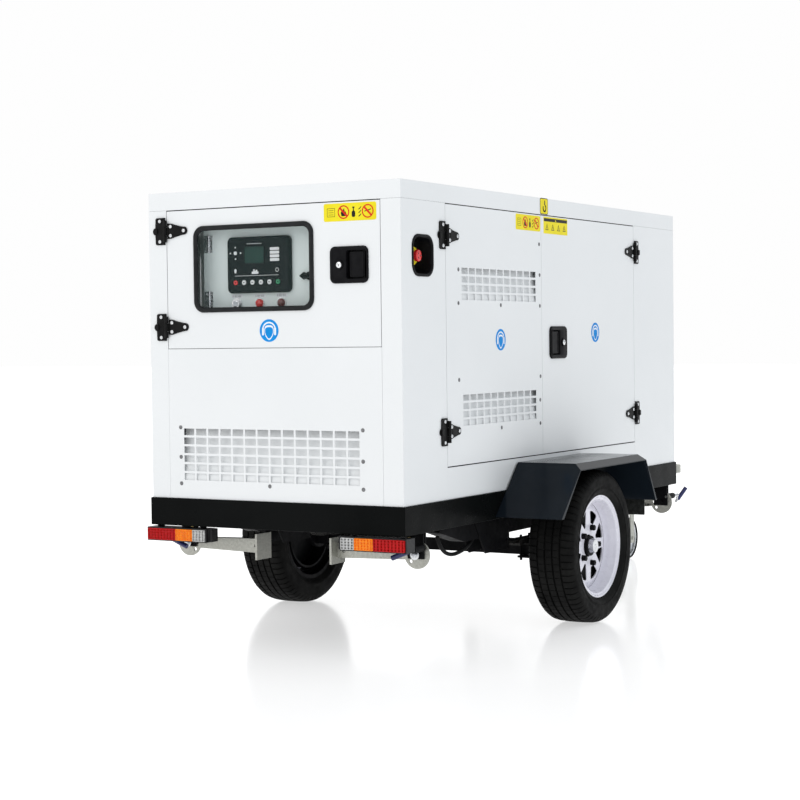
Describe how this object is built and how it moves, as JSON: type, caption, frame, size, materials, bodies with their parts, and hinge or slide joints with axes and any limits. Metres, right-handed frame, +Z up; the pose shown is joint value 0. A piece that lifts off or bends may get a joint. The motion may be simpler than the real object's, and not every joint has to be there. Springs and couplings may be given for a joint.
{
  "type": "towable diesel generator",
  "caption": "Diesel generator in a white sound-proof canopy on a black two-wheel trailer with service doors, corner legs, jockey wheel and towing eye.",
  "frame": {"origin": "middle of the bounding box, on the ground", "axes": "+X forward to the tow eye, +Y to the left, +Z up"},
  "size_m": [3.693, 1.58, 1.686],
  "materials": {
    "canopy_white": "satin powder coat",
    "chassis_black": "gloss paint",
    "guard_black": "gloss paint",
    "tyre": "matte",
    "rim_white": "gloss paint",
    "galvanised": "hot-dip galvanised",
    "zinc_steel": "zinc plated",
    "spring_steel": "painted spring steel",
    "rubber_black": "matte",
    "hinge_black": "satin",
    "latch_black": "satin",
    "lens": "clear coloured lens",
    "lamp_black": "matte",
    "window_clear": "clear",
    "panel_white": "satin",
    "controller_black": "fine texture",
    "red_plastic": "gloss",
    "engine_green": "painted casting",
    "alternator_grey": "painted casting",
    "core_aluminium": "finned",
    "silencer_steel": "heat resistant paint",
    "battery_black": "satin",
    "fan_plastic": "satin",
    "chrome_metal": "polished"
  },
  "bodies": {
    "trailer": {"base_frame": "chassis_black", "chassis_rails": "chassis_black", "drawbar": "chassis_black", "tow_eye": "galvanised", "leaf_springs": "spring_steel", "mudguards": "guard_black", "mudflaps": "rubber_black", "leg_brackets": "chassis_black", "tail_light_housings": "lamp_black", "tail_light_lenses": "lens", "rear_post_right": "canopy_white", "canopy_frame": "canopy_white", "roof": "canopy_white", "rear_lower_panel": "canopy_white", "front_panel": "canopy_white", "hinge_bases": "hinge_black", "estop_cup": "latch_black", "control_box": "panel_white", "engine_block": "engine_green", "alternator": "alternator_grey", "radiator": "core_aluminium", "exhaust_silencer": "silencer_steel", "battery": "battery_black", "underslung_hose": "rubber_black", "jockey_clamp": "zinc_steel", "lifting_eye": "chassis_black", "control_panel": "panel_white", "controller": "controller_black"},
    "axle": {"axle_beam": "chassis_black"},
    "wheel_right": {"tyre_right": "tyre", "rim_right": "rim_white"},
    "wheel_left": {"tyre_left": "tyre", "rim_left": "rim_white"},
    "leg_rear_right": {"leg_rear_right": "galvanised"},
    "lock_pin_rear_right": {"lock_pin_rear_right": "zinc_steel"},
    "leg_rear_left": {"leg_rear_left": "galvanised"},
    "lock_pin_rear_left": {"lock_pin_rear_left": "zinc_steel"},
    "leg_front_right": {"leg_front_right": "galvanised"},
    "lock_pin_front_right": {"lock_pin_front_right": "zinc_steel"},
    "leg_front_left": {"leg_front_left": "galvanised"},
    "lock_pin_front_left": {"lock_pin_front_left": "zinc_steel"},
    "rear_door": {"rear_door": "canopy_white", "door_window": "window_clear", "rear_latch": "latch_black"},
    "rear_paddle": {"rear_paddle": "latch_black"},
    "side_door_rear_right": {"side_door_rear_right": "canopy_white"},
    "side_door_front_right": {"side_door_front_right": "canopy_white", "right_latch": "latch_black"},
    "right_paddle": {"right_paddle": "latch_black"},
    "side_door_rear_left": {"side_door_rear_left": "canopy_white"},
    "side_door_front_left": {"side_door_front_left": "canopy_white", "left_latch": "latch_black"},
    "left_paddle": {"left_paddle": "latch_black"},
    "key_switch": {"key_switch": "chrome_metal"},
    "estop_button": {"estop_button": "red_plastic"},
    "engine_fan": {"engine_fan": "fan_plastic"},
    "jockey_tube": {"jockey_tube": "zinc_steel"},
    "jockey_fork": {"jockey_fork": "zinc_steel"},
    "jockey_wheel": {"jockey_wheel": "rubber_black"},
    "jockey_crank": {"jockey_crank": "zinc_steel"}
  },
  "joints": [
    {"name": "suspension_bounce", "type": "slide", "parent": "trailer", "child": "axle", "axis": [0, 0, 1], "range_m": [-0.05, 0.03], "stiffness_N_per_m": 120000, "springref_m": -0.0655, "deforming": ["leaf_springs"]},
    {"name": "wheel_right_spin", "type": "hinge", "parent": "axle", "child": "wheel_right", "pos_m": [-0.7045, -0.645, 0.29], "axis": [0, 1, 0], "continuous": true},
    {"name": "wheel_left_spin", "type": "hinge", "parent": "axle", "child": "wheel_left", "pos_m": [-0.7045, 0.645, 0.29], "axis": [0, 1, 0], "continuous": true},
    {"name": "leg_rear_right_swing", "type": "hinge", "parent": "trailer", "child": "leg_rear_right", "pos_m": [-1.6655, -0.477, 0.349], "axis": [-1, 0, 0], "range_deg": [0, 90]},
    {"name": "lock_pin_rear_right_pull", "type": "slide", "parent": "trailer", "child": "lock_pin_rear_right", "axis": [-1, 0, 0], "range_m": [0, 0.018], "stiffness_N_per_m": 900, "springref_m": -0.01},
    {"name": "leg_rear_left_swing", "type": "hinge", "parent": "trailer", "child": "leg_rear_left", "pos_m": [-1.6655, 0.477, 0.349], "axis": [1, 0, 0], "range_deg": [0, 90]},
    {"name": "lock_pin_rear_left_pull", "type": "slide", "parent": "trailer", "child": "lock_pin_rear_left", "axis": [-1, 0, 0], "range_m": [0, 0.018], "stiffness_N_per_m": 900, "springref_m": -0.01},
    {"name": "leg_front_right_swing", "type": "hinge", "parent": "trailer", "child": "leg_front_right", "pos_m": [0.5125, -0.477, 0.349], "axis": [-1, 0, 0], "range_deg": [0, 90]},
    {"name": "lock_pin_front_right_pull", "type": "slide", "parent": "trailer", "child": "lock_pin_front_right", "axis": [1, 0, 0], "range_m": [0, 0.018], "stiffness_N_per_m": 900, "springref_m": -0.01},
    {"name": "leg_front_left_swing", "type": "hinge", "parent": "trailer", "child": "leg_front_left", "pos_m": [0.5125, 0.477, 0.349], "axis": [1, 0, 0], "range_deg": [0, 90]},
    {"name": "lock_pin_front_left_pull", "type": "slide", "parent": "trailer", "child": "lock_pin_front_left", "axis": [1, 0, 0], "range_m": [0, 0.018], "stiffness_N_per_m": 900, "springref_m": -0.01},
    {"name": "rear_door_swing", "type": "hinge", "parent": "trailer", "child": "rear_door", "pos_m": [-1.8337, 0.442, 1.225], "axis": [0, 0, -1], "range_deg": [0, 110]},
    {"name": "side_door_rear_right_swing", "type": "hinge", "parent": "trailer", "child": "side_door_rear_right", "pos_m": [-1.5225, -0.5282, 1.225], "axis": [0, 0, -1], "range_deg": [0, 110]},
    {"name": "side_door_front_right_swing", "type": "hinge", "parent": "trailer", "child": "side_door_front_right", "pos_m": [0.1175, -0.5282, 1.225], "axis": [0, 0, 1], "range_deg": [0, 110]},
    {"name": "side_door_rear_left_swing", "type": "hinge", "parent": "trailer", "child": "side_door_rear_left", "pos_m": [-1.5225, 0.5282, 1.225], "axis": [0, 0, 1], "range_deg": [0, 110]},
    {"name": "side_door_front_left_swing", "type": "hinge", "parent": "trailer", "child": "side_door_front_left", "pos_m": [0.1175, 0.5282, 1.225], "axis": [0, 0, -1], "range_deg": [0, 110]},
    {"name": "rear_paddle_pull", "type": "hinge", "parent": "rear_door", "child": "rear_paddle", "pos_m": [-1.8227, -0.328, 1.331], "axis": [0, 0, -1], "range_deg": [0, 38], "stiffness_Nm_per_rad": 0.5, "springref_deg": -5.73},
    {"name": "right_paddle_pull", "type": "hinge", "parent": "side_door_front_right", "child": "right_paddle", "pos_m": [-0.6395, -0.5172, 1.061], "axis": [0, 0, 1], "range_deg": [0, 38], "stiffness_Nm_per_rad": 0.5, "springref_deg": -5.73},
    {"name": "left_paddle_pull", "type": "hinge", "parent": "side_door_front_left", "child": "left_paddle", "pos_m": [-0.6395, 0.5172, 1.061], "axis": [0, 0, -1], "range_deg": [0, 38], "stiffness_Nm_per_rad": 0.5, "springref_deg": -5.73},
    {"name": "key_turn", "type": "hinge", "parent": "trailer", "child": "key_switch", "pos_m": [-1.7755, 0.183, 1.211], "axis": [1, 0, 0], "range_deg": [0, 90]},
    {"name": "estop_push", "type": "slide", "parent": "trailer", "child": "estop_button", "axis": [0, 1, 0], "range_m": [0, 0.006]},
    {"name": "engine_turn", "type": "hinge", "parent": "trailer", "child": "engine_fan", "pos_m": [0.0405, 0, 0.915], "axis": [1, 0, 0], "continuous": true},
    {"name": "jockey_lift", "type": "slide", "parent": "trailer", "child": "jockey_tube", "axis": [0, 0, 1], "range_m": [-0.1, 0.1]},
    {"name": "jockey_crank_turn", "type": "hinge", "parent": "trailer", "child": "jockey_crank", "pos_m": [1.2845, 0, 0.677], "axis": [0, 0, 1], "range_deg": [-3600, 3600]},
    {"name": "jockey_swivel", "type": "hinge", "parent": "jockey_tube", "child": "jockey_fork", "pos_m": [1.2845, 0, 0.22], "axis": [0, 0, 1], "continuous": true},
    {"name": "jockey_wheel_spin", "type": "hinge", "parent": "jockey_fork", "child": "jockey_wheel", "pos_m": [1.2145, 0, 0.1], "axis": [0, 1, 0], "continuous": true}
  ],
  "couplings": [
    {"joint": "jockey_crank_turn", "follows": "jockey_lift", "rad_per_m": 628.32}
  ]
}
